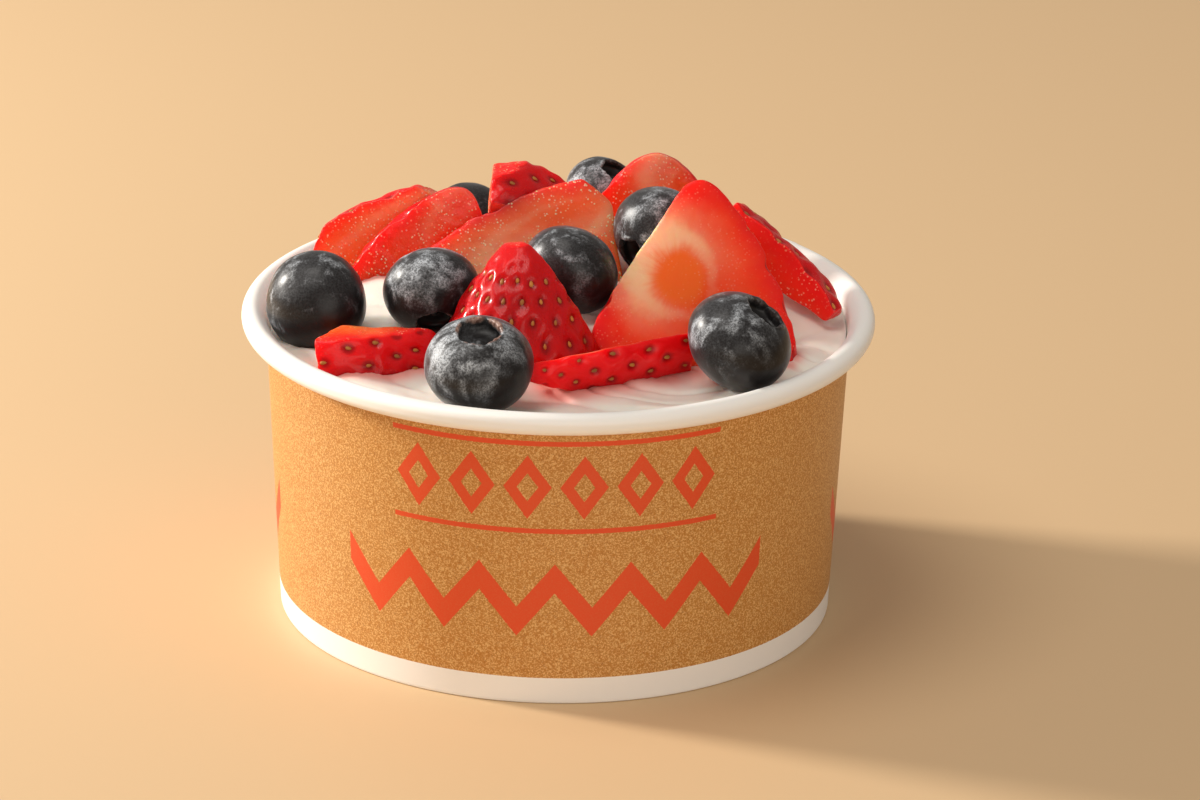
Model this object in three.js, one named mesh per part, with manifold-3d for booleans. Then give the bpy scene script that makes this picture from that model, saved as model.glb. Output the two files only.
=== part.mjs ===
// A yogurt parfait in a short paper cup: a rolled-lip paper cup filled with thick yogurt that is mounded
// above the lip, and topped with blueberries and cut strawberries.
// Millimetres, +Z up. The origin is the middle of the cup's foot, on the table, and -Y is the front.
import * as THREE from "three";
import { mergeVertices } from "three/addons/utils/BufferGeometryUtils.js";
import Module from "manifold-3d";

const wasm = await Module();
wasm.setup();

// ---------------------------------------------------------------- driving dimensions
const RIM_RADIUS = 51; // outermost, on the rolled lip
const CUP_HEIGHT = 50.6;
const FOOT_RADIUS = 44.8;
const WALL_TOP_RADIUS = 47.1; // outside of the wall where it enters the lip
const WALL = 0.6;
const LIP_WIDTH = 4.5;
const LIP_HEIGHT = 3.5;
const SKIRT = 1.4; // the folded paper below the floor
const FLOOR_LIFT = 6; // from the table to the underside of the floor
const GAP = 0.3; // between pieces that touch
const SEGMENTS = 60;

const YOGURT_EDGE = CUP_HEIGHT - 3.6; // where the yogurt meets the wall
const YOGURT_CROWN = 6.5; // how far its middle is mounded above that
const YOGURT_MIDDLE = [2, 12]; // the mound's centre, seen from above
const YOGURT_REACH = { side: 45, front: 30, back: 40 }; // how far the mound spreads
const YOGURT_FOLD = 0.4; // height of the soft folds
const YOGURT_RINGS = 10;
const YOGURT_SEGMENTS = 40;

const PIT_AROUND = 4.7; // between strawberry seeds in one row, round the berry where it is widest
const PIT_ALONG = 2.9; // between the rows, on average
const PIT_DEPTH = 0.6;
const SEED_LENGTH = 1.3;

const PAPER = new THREE.MeshStandardMaterial({ color: 0xd9a860, roughness: 0.6, metalness: 0 });
const YOGURT = new THREE.MeshStandardMaterial({ color: 0xf4eee2, roughness: 0.35, metalness: 0 });
const BLUEBERRY = new THREE.MeshStandardMaterial({ color: 0x2b3040, roughness: 0.5, metalness: 0 });
const STRAWBERRY = new THREE.MeshStandardMaterial({ color: 0xd02323, roughness: 0.25, metalness: 0 });

// ---------------------------------------------------------------- the fruit and where it lies
// Blueberries: radius, centre, and the way the crown points.
const BLUEBERRIES = {
  blueberry_left: { r: 8.4, at: [-38.6, -8, 52.9], crown: [0.5, 0.8, -0.2] },
  blueberry_mid_left: { r: 7.8, at: [-20.2, -8.2, 55.3], crown: [0.13, -0.76, -0.62] },
  blueberry_front: { r: 8.5, at: [-12.2, -37, 53.7], crown: [0, -0.27, 0.96] },
  blueberry_middle: { r: 7.9, at: [1.8, -4.5, 57.8], crown: [-0.5, -0.6, -0.6] },
  blueberry_front_right: { r: 8.5, at: [28.3, -28, 54.8], crown: [0.6, -0.07, 0.8] },
  blueberry_mid_right: { r: 8.2, at: [16.4, 6.5, 60.2], crown: [-0.66, -0.66, -0.36] },
  blueberry_back: { r: 6.4, at: [7.1, 36, 57.2], crown: [0.42, -0.28, 0.86] },
  blueberry_back_left: { r: 7.1, at: [-15.4, 31, 52.9], crown: [0.3, 0.6, -0.5] },
};

// Strawberry pieces. Each was cut from a berry of the given length and greatest radius, whose taper is 0
// for a round berry and 1 for a pointed one. In the berry's frame the tip points along +X and the side that
// shows looks along +Z. keep lists the planes that bound the piece, each as an outward normal and its
// distance from the berry's middle. The piece is then spun in its own plane, leaned back from upright,
// turned about the vertical and set down.
const STRAWBERRIES = {
  strawberry_front_left: {
    length: 30, radius: 16, taper: 0.7, at: [-26.6, -12.2, 44.7], spin: 0, lean: 0, turn: -12,
    keep: [[[-0.937, -0.35, -0.35], 0.94], [[0, 1, 0], 8], [[0, -1, 0], -2.2], [[-0.14, 0, -1], -5.4]],
  },
  strawberry_front_right: {
    length: 60, radius: 9.6, taper: 0, at: [5.6, -20.6, 50.3], spin: 180, lean: 0, turn: 35.5,
    keep: [
      [[-1, 0, 0], 12.9], [[-0.06, -1, -0.6], -1.2], [[0, 1, 0], 3.6], [[0, 0, -1], -3.5],
      [[0.37, 0.93, 0], 6.3],
    ],
  },
  strawberry_standing: {
    length: 30, radius: 13.6, taper: 0, at: [-5.7, -14, 51.5], spin: 89, lean: 5, turn: 0,
    keep: [[[-1, 0, 0], 4], [[0, 0, -1], 0], [[0.52, -0.74, -0.43], 7], [[1, 0.12, 0], 14.1]],
  },
  strawberry_big_slice: {
    length: 36, radius: 16, taper: 1, at: [21.9, -10.1, 57], spin: 88, lean: 35, turn: 0,
    keep: [[[0, 0, 1], 1], [[0, 0, -1], 5], [[0.505, 0.863, 0], 10.9], [[-1, 0, 0], 15]],
  },
  strawberry_long_slice: {
    length: 37, radius: 11.5, taper: 0, at: [-4.1, 5.4, 56.9], spin: 188, lean: 36, turn: 0,
    keep: [[[0, 0, 1], 0.5], [[0, 0, -1], 4.5], [[-1, 0, 0], 13.6], [[-0.75, -0.66, 0], 14.9]],
  },
  strawberry_left_front: {
    length: 26, radius: 11.3, taper: 0, at: [-20.6, 9.9, 54.1], spin: 66, lean: 8, turn: 0,
    keep: [[[0, 0, 1], 0.5], [[0, 0, -1], 3.5], [[-1, 0, 0], 10]],
  },
  strawberry_left_back: {
    length: 28, radius: 7.3, taper: 0, at: [-27.2, 14.8, 57], spin: 38, lean: 5, turn: -7,
    keep: [[[0, 0, 1], 0.5], [[0, 0, -1], 3.5], [[0.89, 0.456, 0], 9]],
  },
  strawberry_behind_right: {
    length: 50, radius: 12, taper: 0, at: [26.9, 9.1, 53.6], spin: 140, lean: 9, turn: -30,
    keep: [
      [[0, 0, 1], 0.5], [[0, 0, -1], 4.5], [[-1, 0, 0], 17.9], [[-0.331, 0.944, 0], -2], [[1, 0, 0], 6.5],
    ],
  },
  strawberry_back_right: {
    length: 24, radius: 13, taper: 0, at: [15.5, 24.3, 55.7], spin: 88, lean: 8, turn: 0,
    keep: [[[0, 0, 1], 0.5], [[0, 0, -1], 4.5], [[-1, 0, 0], 6]],
  },
  strawberry_back: {
    length: 30, radius: 12.8, taper: 0, at: [-5.2, 20, 56.8], spin: -5, lean: 0, turn: 0,
    keep: [[[-1, 0, 0], 6.7], [[0, 0, -1], -1], [[-0.2, 0.98, 0], 11.5], [[0, -0.6, 0.8], 4.4]],
  },
};

// ---------------------------------------------------------------- solids
const unit = (v) => new THREE.Vector3(...v).normalize();

// A closed geometry as a manifold solid, after a matrix is applied to it.
function solidOf(geometry, matrix = new THREE.Matrix4()) {
  const bare = geometry.clone();
  bare.deleteAttribute("normal");
  bare.deleteAttribute("uv");
  bare.applyMatrix4(matrix);
  const merged = mergeVertices(bare, 1e-3);
  return new wasm.Manifold(
    new wasm.Mesh({
      numProp: 3,
      vertProperties: new Float32Array(merged.attributes.position.array),
      triVerts: new Uint32Array(merged.index.array),
    }),
  );
}

// A manifold solid as a geometry for a mesh.
function geometryOf(solid) {
  const mesh = solid.getMesh();
  return new THREE.BufferGeometry()
    .setAttribute("position", new THREE.BufferAttribute(mesh.vertProperties, 3))
    .setIndex(new THREE.BufferAttribute(mesh.triVerts, 1));
}

// A profile of [radius, height] pairs turned about Z.
function turned(profile, segments = SEGMENTS) {
  const points = profile.map(([r, z]) => new THREE.Vector2(r, z));
  return new THREE.LatheGeometry(points, segments).rotateX(Math.PI / 2);
}

// ---------------------------------------------------------------- cup
const wallRadius = (z) => FOOT_RADIUS + ((WALL_TOP_RADIUS - FOOT_RADIUS) * z) / CUP_HEIGHT;
const FLOOR_TOP = FLOOR_LIFT + WALL;
const INNER_RADIUS = wallRadius(YOGURT_EDGE) - WALL;

function cup() {
  const lipRadius = RIM_RADIUS - LIP_WIDTH / 2;
  const lipHeight = CUP_HEIGHT - LIP_HEIGHT / 2;
  const lip = [];
  for (let degrees = -120; degrees <= 180; degrees += 30) {
    const a = (degrees * Math.PI) / 180;
    lip.push([lipRadius + (LIP_WIDTH / 2) * Math.cos(a), lipHeight + (LIP_HEIGHT / 2) * Math.sin(a)]);
  }
  return turned([
    [0, FLOOR_LIFT],
    [wallRadius(FLOOR_LIFT) - SKIRT, FLOOR_LIFT],
    [FOOT_RADIUS - SKIRT, 0],
    [FOOT_RADIUS, 0],
    [wallRadius(CUP_HEIGHT / 2), CUP_HEIGHT / 2],
    ...lip,
    [wallRadius(CUP_HEIGHT / 2) - WALL, CUP_HEIGHT / 2],
    [wallRadius(FLOOR_TOP) - WALL, FLOOR_TOP],
    [0, FLOOR_TOP],
  ]);
}

// ---------------------------------------------------------------- blueberries
const BERRY_SQUASH = 0.85; // height over width
const CROWN_LOBES = 5;

// The berry turned about +Z with its crown on top: a squashed ball whose top has a ring of five lobes
// round a crater.
function blueberry(r) {
  const points = [];
  for (let degrees = 0; degrees <= 150; degrees += 30) {
    const a = (degrees * Math.PI) / 180;
    points.push([r * Math.sin(a), -r * BERRY_SQUASH * Math.cos(a)]);
  }
  const shoulder = r * BERRY_SQUASH * Math.sqrt(1 - 0.46 ** 2);
  points.push([0.47 * r, shoulder - 0.01 * r]); // lobe tips
  points.push([0.37 * r, shoulder - 0.03 * r]);
  points.push([0.3 * r, shoulder - 0.2 * r]);
  points.push([0, shoulder - 0.24 * r]);
  const geometry = turned(points, 4 * CROWN_LOBES);
  const position = geometry.attributes.position;
  for (let i = 0; i < position.count; i++) {
    if (i % points.length !== points.length - 4) continue;
    const angle = Math.atan2(position.getY(i), position.getX(i));
    const lobe = Math.cos(CROWN_LOBES * angle);
    const out = 1 + 0.08 * lobe;
    const lift = 0.035 * r * lobe;
    position.setXYZ(i, position.getX(i) * out, position.getY(i) * out, position.getZ(i) + lift);
  }
  return geometry;
}

function blueberryPlace({ at, crown }) {
  const turn = new THREE.Quaternion().setFromUnitVectors(new THREE.Vector3(0, 0, 1), unit(crown));
  return new THREE.Matrix4().compose(new THREE.Vector3(...at), turn, new THREE.Vector3(1, 1, 1));
}

// ---------------------------------------------------------------- strawberries
// Radius of a strawberry at t, from 0 at the stalk end to 1 at the tip, as a share of the greatest.
function berryProfile(t, taper) {
  const towardsTip = (1 - t ** (1.4 - 0.4 * taper)) ** (0.6 + 0.02 * taper);
  return (1.15 + 0.12 * taper) * towardsTip * (1 - (1 - t) ** 7) ** 0.42;
}

// Rows of seeds along a berry, and seeds in each row.
const pitRows = (berry) => Math.round(berry.length / PIT_ALONG);
const pitColumns = (berry) => Math.round((2 * Math.PI * berry.radius) / PIT_AROUND);

// Where along the berry a row lies, from 0 to 1. The rows crowd towards the tip.
const pitRow = (row, rows) => 1 - (1 - row / rows) ** 1.35;

// The whole berry with its tip along +X, larger all over by grow. Seeds sit in pits on a staggered grid, so
// every other point is pressed in and the ones between stand out.
function wholeStrawberry(berry, grow) {
  const rows = pitRows(berry);
  const columns = 2 * pitColumns(berry);
  const points = [];
  for (let row = 0; row <= rows; row++) {
    const t = pitRow(row, rows);
    const r = row % rows ? (berry.radius + grow) * berryProfile(t, berry.taper) : 0;
    points.push(new THREE.Vector2(r, (t - 0.5) * (berry.length + 2 * grow)));
  }
  const geometry = new THREE.LatheGeometry(points, columns);
  const position = geometry.attributes.position;
  for (let i = 0; i < position.count; i++) {
    const row = i % points.length;
    const column = Math.floor(i / points.length) % columns;
    if (row === 0 || row === rows) continue;
    const out = 1 + ((row + column) % 2 ? 0.5 : -0.5) * (PIT_DEPTH / Math.max(points[row].x, 3));
    position.setXYZ(i, position.getX(i) * out, position.getY(i), position.getZ(i) * out);
  }
  return geometry.rotateZ(-Math.PI / 2);
}

// One seed in each pit that is clear of the piece's cuts, moved out by grow.
function seeds(berry, grow = 0) {
  const { length, radius, taper, keep } = berry;
  const rows = pitRows(berry);
  const columns = pitColumns(berry);
  const solids = [];
  for (let row = 1; row < rows; row++) {
    const t = pitRow(row, rows);
    const out = radius * berryProfile(t, taper) - PIT_DEPTH / 2 + grow;
    if (out < 0.4 * radius) continue;
    for (let column = row % 2; column < 2 * columns; column += 2) {
      const angle = (column / columns) * Math.PI;
      const at = new THREE.Vector3((t - 0.5) * length, out * Math.sin(angle), out * Math.cos(angle));
      const inside = ([normal, offset]) => at.dot(unit(normal)) < offset - SEED_LENGTH;
      if (!keep.every(inside)) continue;
      const seed = new THREE.OctahedronGeometry(1).scale(SEED_LENGTH / 2, SEED_LENGTH / 3, SEED_LENGTH / 4);
      const turn = new THREE.Quaternion().setFromUnitVectors(
        new THREE.Vector3(0, 0, 1),
        new THREE.Vector3(0, at.y, at.z).normalize(),
      );
      seed.applyQuaternion(turn).translate(at.x, at.y, at.z);
      solids.push(solidOf(seed));
    }
  }
  return solids;
}

function strawberryPlace({ at, spin, lean, turn }) {
  const radians = Math.PI / 180;
  return new THREE.Matrix4()
    .makeTranslation(...at)
    .multiply(new THREE.Matrix4().makeRotationZ(turn * radians))
    .multiply(new THREE.Matrix4().makeRotationX((90 - lean) * radians))
    .multiply(new THREE.Matrix4().makeRotationZ(spin * radians));
}

// The piece in the berry's frame, larger all over by grow.
function strawberryPiece(berry, grow = 0) {
  let solid = solidOf(wholeStrawberry(berry, grow));
  for (const [normal, offset] of berry.keep) {
    const n = unit(normal);
    solid = solid.trimByPlane([-n.x, -n.y, -n.z], -(offset + grow));
  }
  return solid;
}

// ---------------------------------------------------------------- yogurt
// Height of the yogurt's top. It is mounded towards the back, falls to the wall, and keeps the soft
// folds of the spoon that spread it.
function yogurtHeight(x, y) {
  const r = Math.hypot(x, y);
  const across = (x - YOGURT_MIDDLE[0]) / YOGURT_REACH.side;
  const back = y - YOGURT_MIDDLE[1];
  const along = back / (back < 0 ? YOGURT_REACH.front : YOGURT_REACH.back);
  const fromMiddle = Math.min(Math.hypot(across, along), 1);
  const mound = YOGURT_CROWN * (1 - fromMiddle ** 3);
  const inside = Math.min(1, (INNER_RADIUS - r) / 5);
  const fold = YOGURT_FOLD * Math.sin(3 * Math.atan2(y, x) + r / 4.2) * Math.min(1, r / 12) * inside;
  return YOGURT_EDGE + mound + fold;
}

function yogurt() {
  const points = [];
  for (let ring = 0; ring <= YOGURT_RINGS; ring++) {
    points.push([(INNER_RADIUS - GAP) * (ring / YOGURT_RINGS), YOGURT_EDGE]);
  }
  points.push([wallRadius(FLOOR_TOP + GAP) - WALL - GAP, FLOOR_TOP + GAP]);
  points.push([0, FLOOR_TOP + GAP]);
  points.reverse();
  const geometry = turned(points, YOGURT_SEGMENTS);
  const position = geometry.attributes.position;
  for (let i = 0; i < position.count; i++) {
    if (i % points.length < 2) continue;
    position.setZ(i, yogurtHeight(position.getX(i), position.getY(i)));
  }
  return solidOf(geometry);
}

// ---------------------------------------------------------------- assembly
const fruit = [];
for (const [name, berry] of Object.entries(BLUEBERRIES)) {
  const place = blueberryPlace(berry);
  fruit.push({
    name,
    material: BLUEBERRY,
    solid: solidOf(blueberry(berry.r), place),
    hollow: solidOf(blueberry(berry.r + GAP), place).hull(),
  });
}
for (const [name, berry] of Object.entries(STRAWBERRIES)) {
  const place = strawberryPlace(berry).elements;
  fruit.push({
    name,
    material: STRAWBERRY,
    solid: wasm.Manifold.union([strawberryPiece(berry), ...seeds(berry)]).transform(place),
    hollow: wasm.Manifold.hull([strawberryPiece(berry, GAP), ...seeds(berry, GAP)]).transform(place),
  });
}

// Where two pieces press together, the second gives way to the first.
let bed = yogurt();
for (let i = 0; i < fruit.length; i++) {
  for (let j = 0; j < i; j++) fruit[i].solid = fruit[i].solid.subtract(fruit[j].hollow);
  bed = bed.subtract(fruit[i].hollow);
}

const parfait = new THREE.Group();
function add(name, geometry, material) {
  const mesh = new THREE.Mesh(geometry, material);
  mesh.name = name;
  parfait.add(mesh);
}
add("cup", cup(), PAPER);
add("yogurt", geometryOf(bed), YOGURT);
for (const { name, solid, material } of fruit) add(name, geometryOf(solid), material);

export default parfait;
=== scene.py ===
"""A yogurt parfait in a short paper cup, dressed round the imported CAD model.

Lengths in the tables and in the shape functions are millimetres. They become metres where a mesh is made.
"""
import math

import bpy
import numpy as np
from mathutils import Matrix, Vector


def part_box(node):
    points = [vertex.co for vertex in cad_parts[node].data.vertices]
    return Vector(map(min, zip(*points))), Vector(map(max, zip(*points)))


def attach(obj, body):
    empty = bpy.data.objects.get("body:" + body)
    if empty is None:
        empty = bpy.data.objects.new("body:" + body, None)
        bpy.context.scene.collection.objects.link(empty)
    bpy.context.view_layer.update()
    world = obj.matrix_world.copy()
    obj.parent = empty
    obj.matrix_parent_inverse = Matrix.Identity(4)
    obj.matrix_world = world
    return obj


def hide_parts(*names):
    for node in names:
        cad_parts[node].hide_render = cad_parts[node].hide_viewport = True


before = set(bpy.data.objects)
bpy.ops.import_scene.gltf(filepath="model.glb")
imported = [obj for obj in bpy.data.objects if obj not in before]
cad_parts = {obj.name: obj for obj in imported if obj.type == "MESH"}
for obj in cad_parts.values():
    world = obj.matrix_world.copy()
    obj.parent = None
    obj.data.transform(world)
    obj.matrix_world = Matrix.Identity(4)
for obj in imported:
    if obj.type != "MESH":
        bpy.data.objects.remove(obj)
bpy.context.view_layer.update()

bl_info = {
    "name": "Yogurt parfait",
    "version": (1, 0, 0),
    "blender": (4, 5, 0),
    "location": "3D View > Sidebar > Parfait",
    "description": "Cup, yogurt, blueberries and cut strawberries of a parfait",
    "category": "Add Mesh",
}

MM = 0.001
CUP_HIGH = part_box("cup")[1]
LIP_RADIUS = CUP_HIGH[0] / MM
CUP_HEIGHT = CUP_HIGH[2] / MM

# ---------- where the fruit lies
# Blueberries: radius, centre, the way the crown points, how much of the skin carries bloom and painted
# sheen, and how brown the crown's dry edge is.
BLUEBERRIES = {
    "blueberry_left": (8.4, (-38.6, -8, 52.9), (0.5, 0.8, -0.2), 0.38, 0.2),
    "blueberry_mid_left": (7.8, (-20.2, -8.2, 55.3), (0.13, -0.76, -0.62), 0.7, 0.4),
    "blueberry_front": (8.5, (-12.2, -37, 53.7), (0, -0.27, 0.96), 0.8, 1.0),
    "blueberry_middle": (7.9, (1.8, -4.5, 57.8), (-0.5, -0.6, -0.6), 0.5, 0.2),
    "blueberry_front_right": (8.5, (28.3, -28, 54.8), (0.6, -0.07, 0.8), 0.5, 0.1),
    "blueberry_mid_right": (8.2, (16.4, 6.5, 60.2), (-0.66, -0.66, -0.36), 0.5, 0.1),
    "blueberry_back": (6.4, (7.1, 36, 57.2), (0.42, -0.28, 0.86), 0.7, 0.1),
    "blueberry_back_left": (7.1, (-15.4, 31, 52.9), (0.3, 0.6, -0.5), 0.1, 0.2),
}

# Strawberry pieces: length and greatest radius of the berry, how tapered it is, where its middle lies, spin
# in its own plane, lean back from upright, turn about the vertical, and the planes that bound the piece
# (outward normal and distance).
STRAWBERRIES = {
    "strawberry_front_left": (
        30, 16, 0.7, (-26.6, -12.2, 44.7), 0, 0, -12,
        [((-0.937, -0.35, -0.35), 0.94), ((0, 1, 0), 8), ((0, -1, 0), -2.2), ((-0.14, 0, -1), -5.4)],
    ),
    "strawberry_front_right": (
        60, 9.6, 0, (5.6, -20.6, 50.3), 180, 0, 35.5,
        [((-1, 0, 0), 12.9), ((-0.06, -1, -0.6), -1.2), ((0, 1, 0), 3.6), ((0, 0, -1), -3.5),
         ((0.37, 0.93, 0), 6.3)],
    ),
    "strawberry_standing": (
        30, 13.6, 0, (-5.7, -14, 51.5), 89, 5, 0,
        [((-1, 0, 0), 4), ((0, 0, -1), 0), ((0.52, -0.74, -0.43), 7), ((1, 0.12, 0), 14.1)],
    ),
    "strawberry_big_slice": (
        36, 16, 1, (21.9, -10.1, 57), 88, 35, 0,
        [((0, 0, 1), 1), ((0, 0, -1), 5), ((0.505, 0.863, 0), 10.9), ((-1, 0, 0), 15)],
    ),
    "strawberry_long_slice": (
        37, 11.5, 0, (-4.1, 5.4, 56.9), 188, 36, 0,
        [((0, 0, 1), 0.5), ((0, 0, -1), 4.5), ((-1, 0, 0), 13.6), ((-0.75, -0.66, 0), 14.9)],
    ),
    "strawberry_left_front": (
        26, 11.3, 0, (-20.6, 9.9, 54.1), 66, 8, 0,
        [((0, 0, 1), 0.5), ((0, 0, -1), 3.5), ((-1, 0, 0), 10)],
    ),
    "strawberry_left_back": (
        28, 7.3, 0, (-27.2, 14.8, 57), 38, 5, -7,
        [((0, 0, 1), 0.5), ((0, 0, -1), 3.5), ((0.89, 0.456, 0), 9)],
    ),
    "strawberry_behind_right": (
        50, 12, 0, (26.9, 9.1, 53.6), 140, 9, -30,
        [((0, 0, 1), 0.5), ((0, 0, -1), 4.5), ((-1, 0, 0), 17.9), ((-0.331, 0.944, 0), -2),
         ((1, 0, 0), 6.5)],
    ),
    "strawberry_back_right": (
        24, 13, 0, (15.5, 24.3, 55.7), 88, 8, 0,
        [((0, 0, 1), 0.5), ((0, 0, -1), 4.5), ((-1, 0, 0), 6)],
    ),
    "strawberry_back": (
        30, 12.8, 0, (-5.2, 20, 56.8), -5, 0, 0,
        [((-1, 0, 0), 6.7), ((0, 0, -1), -1), ((-0.2, 0.98, 0), 11.5), ((0, -0.6, 0.8), 4.4)],
    ),
}

# The look of each piece: the middle (x, y), half length, half width and slope of its heart in the berry's
# own plane, then, each from 0 to 1, how strong the pale ring round the heart is, how strong the heart's
# orange, how orange the flesh, how bright its painted glints and how wet and glossy it is, and how dark the
# skin.
LOOKS = {
    "strawberry_front_left": ((2, 0, 9, 7, 0), 0.0, 0.1, 0.9, 0.4, 0.1),
    "strawberry_front_right": ((0, 0, 6, 4, 0), 0.2, 0.1, 0.3, 0.2, 0.0),
    "strawberry_standing": ((0, 0, 6, 4, 0), 0.1, 0.1, 0.2, 0.35, 0.6),
    "strawberry_big_slice": ((1.6, 3.1, 6.0, 5.6, 0.1), 1.0, 1.0, 0.15, 0.15, 0.1),
    "strawberry_long_slice": ((-3, -4, 10, 3.0, 0.28), 0.45, 0.0, 0.6, 1.0, 0.2),
    "strawberry_left_front": ((7, 0, 5, 2.5, 0), 0.15, 0.0, 0.2, 0.8, 0.3),
    "strawberry_left_back": ((-3, 1, 8, 2.2, 0), 0.2, 0.2, 0.6, 1.0, 0.2),
    "strawberry_behind_right": ((0, 6, 8, 3, 0), 0.1, 0.0, 0.0, 0.5, 0.55),
    "strawberry_back_right": ((8, -3, 4, 4, 0), 0.45, 0.2, 0.4, 1.0, 0.2),
    "strawberry_back": ((0, 0, 6, 4, 0), 0.3, 0.1, 0.2, 0.6, 0.55),
}


# ---------- settings
def tint(name, description, default):
    """A colour setting, linear red, green and blue."""
    return bpy.props.FloatVectorProperty(
        name=name, description=description, default=default, subtype="COLOR", size=3, min=0, max=1
    )


def length(name, description, default, least, most):
    """A length setting in metres."""
    return bpy.props.FloatProperty(
        name=name, description=description, default=default, min=least, max=most, subtype="DISTANCE",
        unit="LENGTH",
    )


def strength(name, description, default, most=100):
    """A setting for how bright a light is."""
    return bpy.props.FloatProperty(name=name, description=description, default=default, min=0, max=most)


class ParfaitCupSettings(bpy.types.PropertyGroup):
    """Sizes and colours of the cup."""

    wall: length("Board", "Thickness of the paper board", 0.0005, 0.0002, 0.0012)
    band: length("White band", "Height of the unprinted band at the foot", 0.0045, 0, 0.02)
    kraft: tint("Ground", "Brown ground of the print", (0.5, 0.2, 0.03))
    fleck: tint("Flecks", "Pale flecks in the ground", (0.98, 0.66, 0.28))
    ink: tint("Motif", "Orange of the printed motif", (0.76, 0.062, 0.008))
    board: tint("Board colour", "White of the bare coated board", (0.92, 0.89, 0.85))


class ParfaitYogurtSettings(bpy.types.PropertyGroup):
    """Form and colours of the yogurt."""

    edge: length("Edge below lip", "How far below the lip the yogurt meets the wall", 0.0036, 0, 0.02)
    crown: length("Mound", "Height of the mound in the middle", 0.0065, 0, 0.02)
    cream: tint("Cream", "Colour of the yogurt", (0.87, 0.81, 0.72))
    juice: tint("Juice", "Stain that the strawberries leave", (0.75, 0.12, 0.09))


class ParfaitBlueberrySettings(bpy.types.PropertyGroup):
    """Colours of the blueberries."""

    skin: tint("Skin", "Rubbed skin", (0.006, 0.004, 0.004))
    # This colour is also the painted sheen on the top and left of each berry, where the light falls.
    bloom_and_painted_sheen: tint("Bloom", "Waxy bloom on the skin", (0.45, 0.48, 0.52))
    crown: tint("Crown", "Dry tips of the crown", (0.17, 0.085, 0.065))


class ParfaitStrawberrySettings(bpy.types.PropertyGroup):
    """Colours of the strawberries."""

    skin: tint("Skin", "Red of the skin", (0.86, 0.007, 0.011))
    rim: tint("Rim", "Cut flesh just under the skin", (0.85, 0.017, 0.017))
    flesh: tint("Flesh", "Cut flesh halfway to the core", (0.98, 0.03, 0.012))
    ring: tint("Pale ring", "Pale ring round the core", (1.0, 0.64, 0.38))
    core: tint("Core", "Orange core", (0.98, 0.165, 0.026))
    seed: tint("Seed", "Colour of the seeds", (0.58, 0.2, 0.035))


class ParfaitStageSettings(bpy.types.PropertyGroup):
    """Light and floor."""

    key: strength("Key light", "Power of the low light on the left, in watts", 11)
    overhead: strength("Overhead light", "Power of the broad light above, in watts", 4.4)
    front: strength("Front light", "Power of the broad low light in front, in watts", 7)
    fill: strength("Room light", "Strength of the light all round", 0.36, 5)
    floor: tint("Floor", "Pale floor", (0.66, 0.455, 0.255))


# ---------- shader building
def overload(operation, swapped=False):
    """A method that adds that Math node beside the socket, with the two swapped where the socket stands on
    the right."""
    if swapped:
        return lambda self, other: self.shader.maths(operation, other, self)
    return lambda self, *other: self.shader.maths(operation, self, *other)


class Value:
    """A socket that carries a number, so that arithmetic can be written with it."""

    def __init__(self, shader, socket):
        self.shader = shader
        self.socket = socket

    __add__ = overload("ADD")
    __radd__ = overload("ADD", True)
    __sub__ = overload("SUBTRACT")
    __rsub__ = overload("SUBTRACT", True)
    __mul__ = overload("MULTIPLY")
    __rmul__ = overload("MULTIPLY", True)
    __truediv__ = overload("DIVIDE")
    __rtruediv__ = overload("DIVIDE", True)
    __pow__ = overload("POWER")
    __abs__ = overload("ABSOLUTE")
    __lt__ = overload("LESS_THAN")
    __gt__ = overload("GREATER_THAN")

    def __neg__(self):
        return self * -1

    def clamp(self):
        return self.shader.maths("ADD", self, 0, clamp=True)


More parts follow.
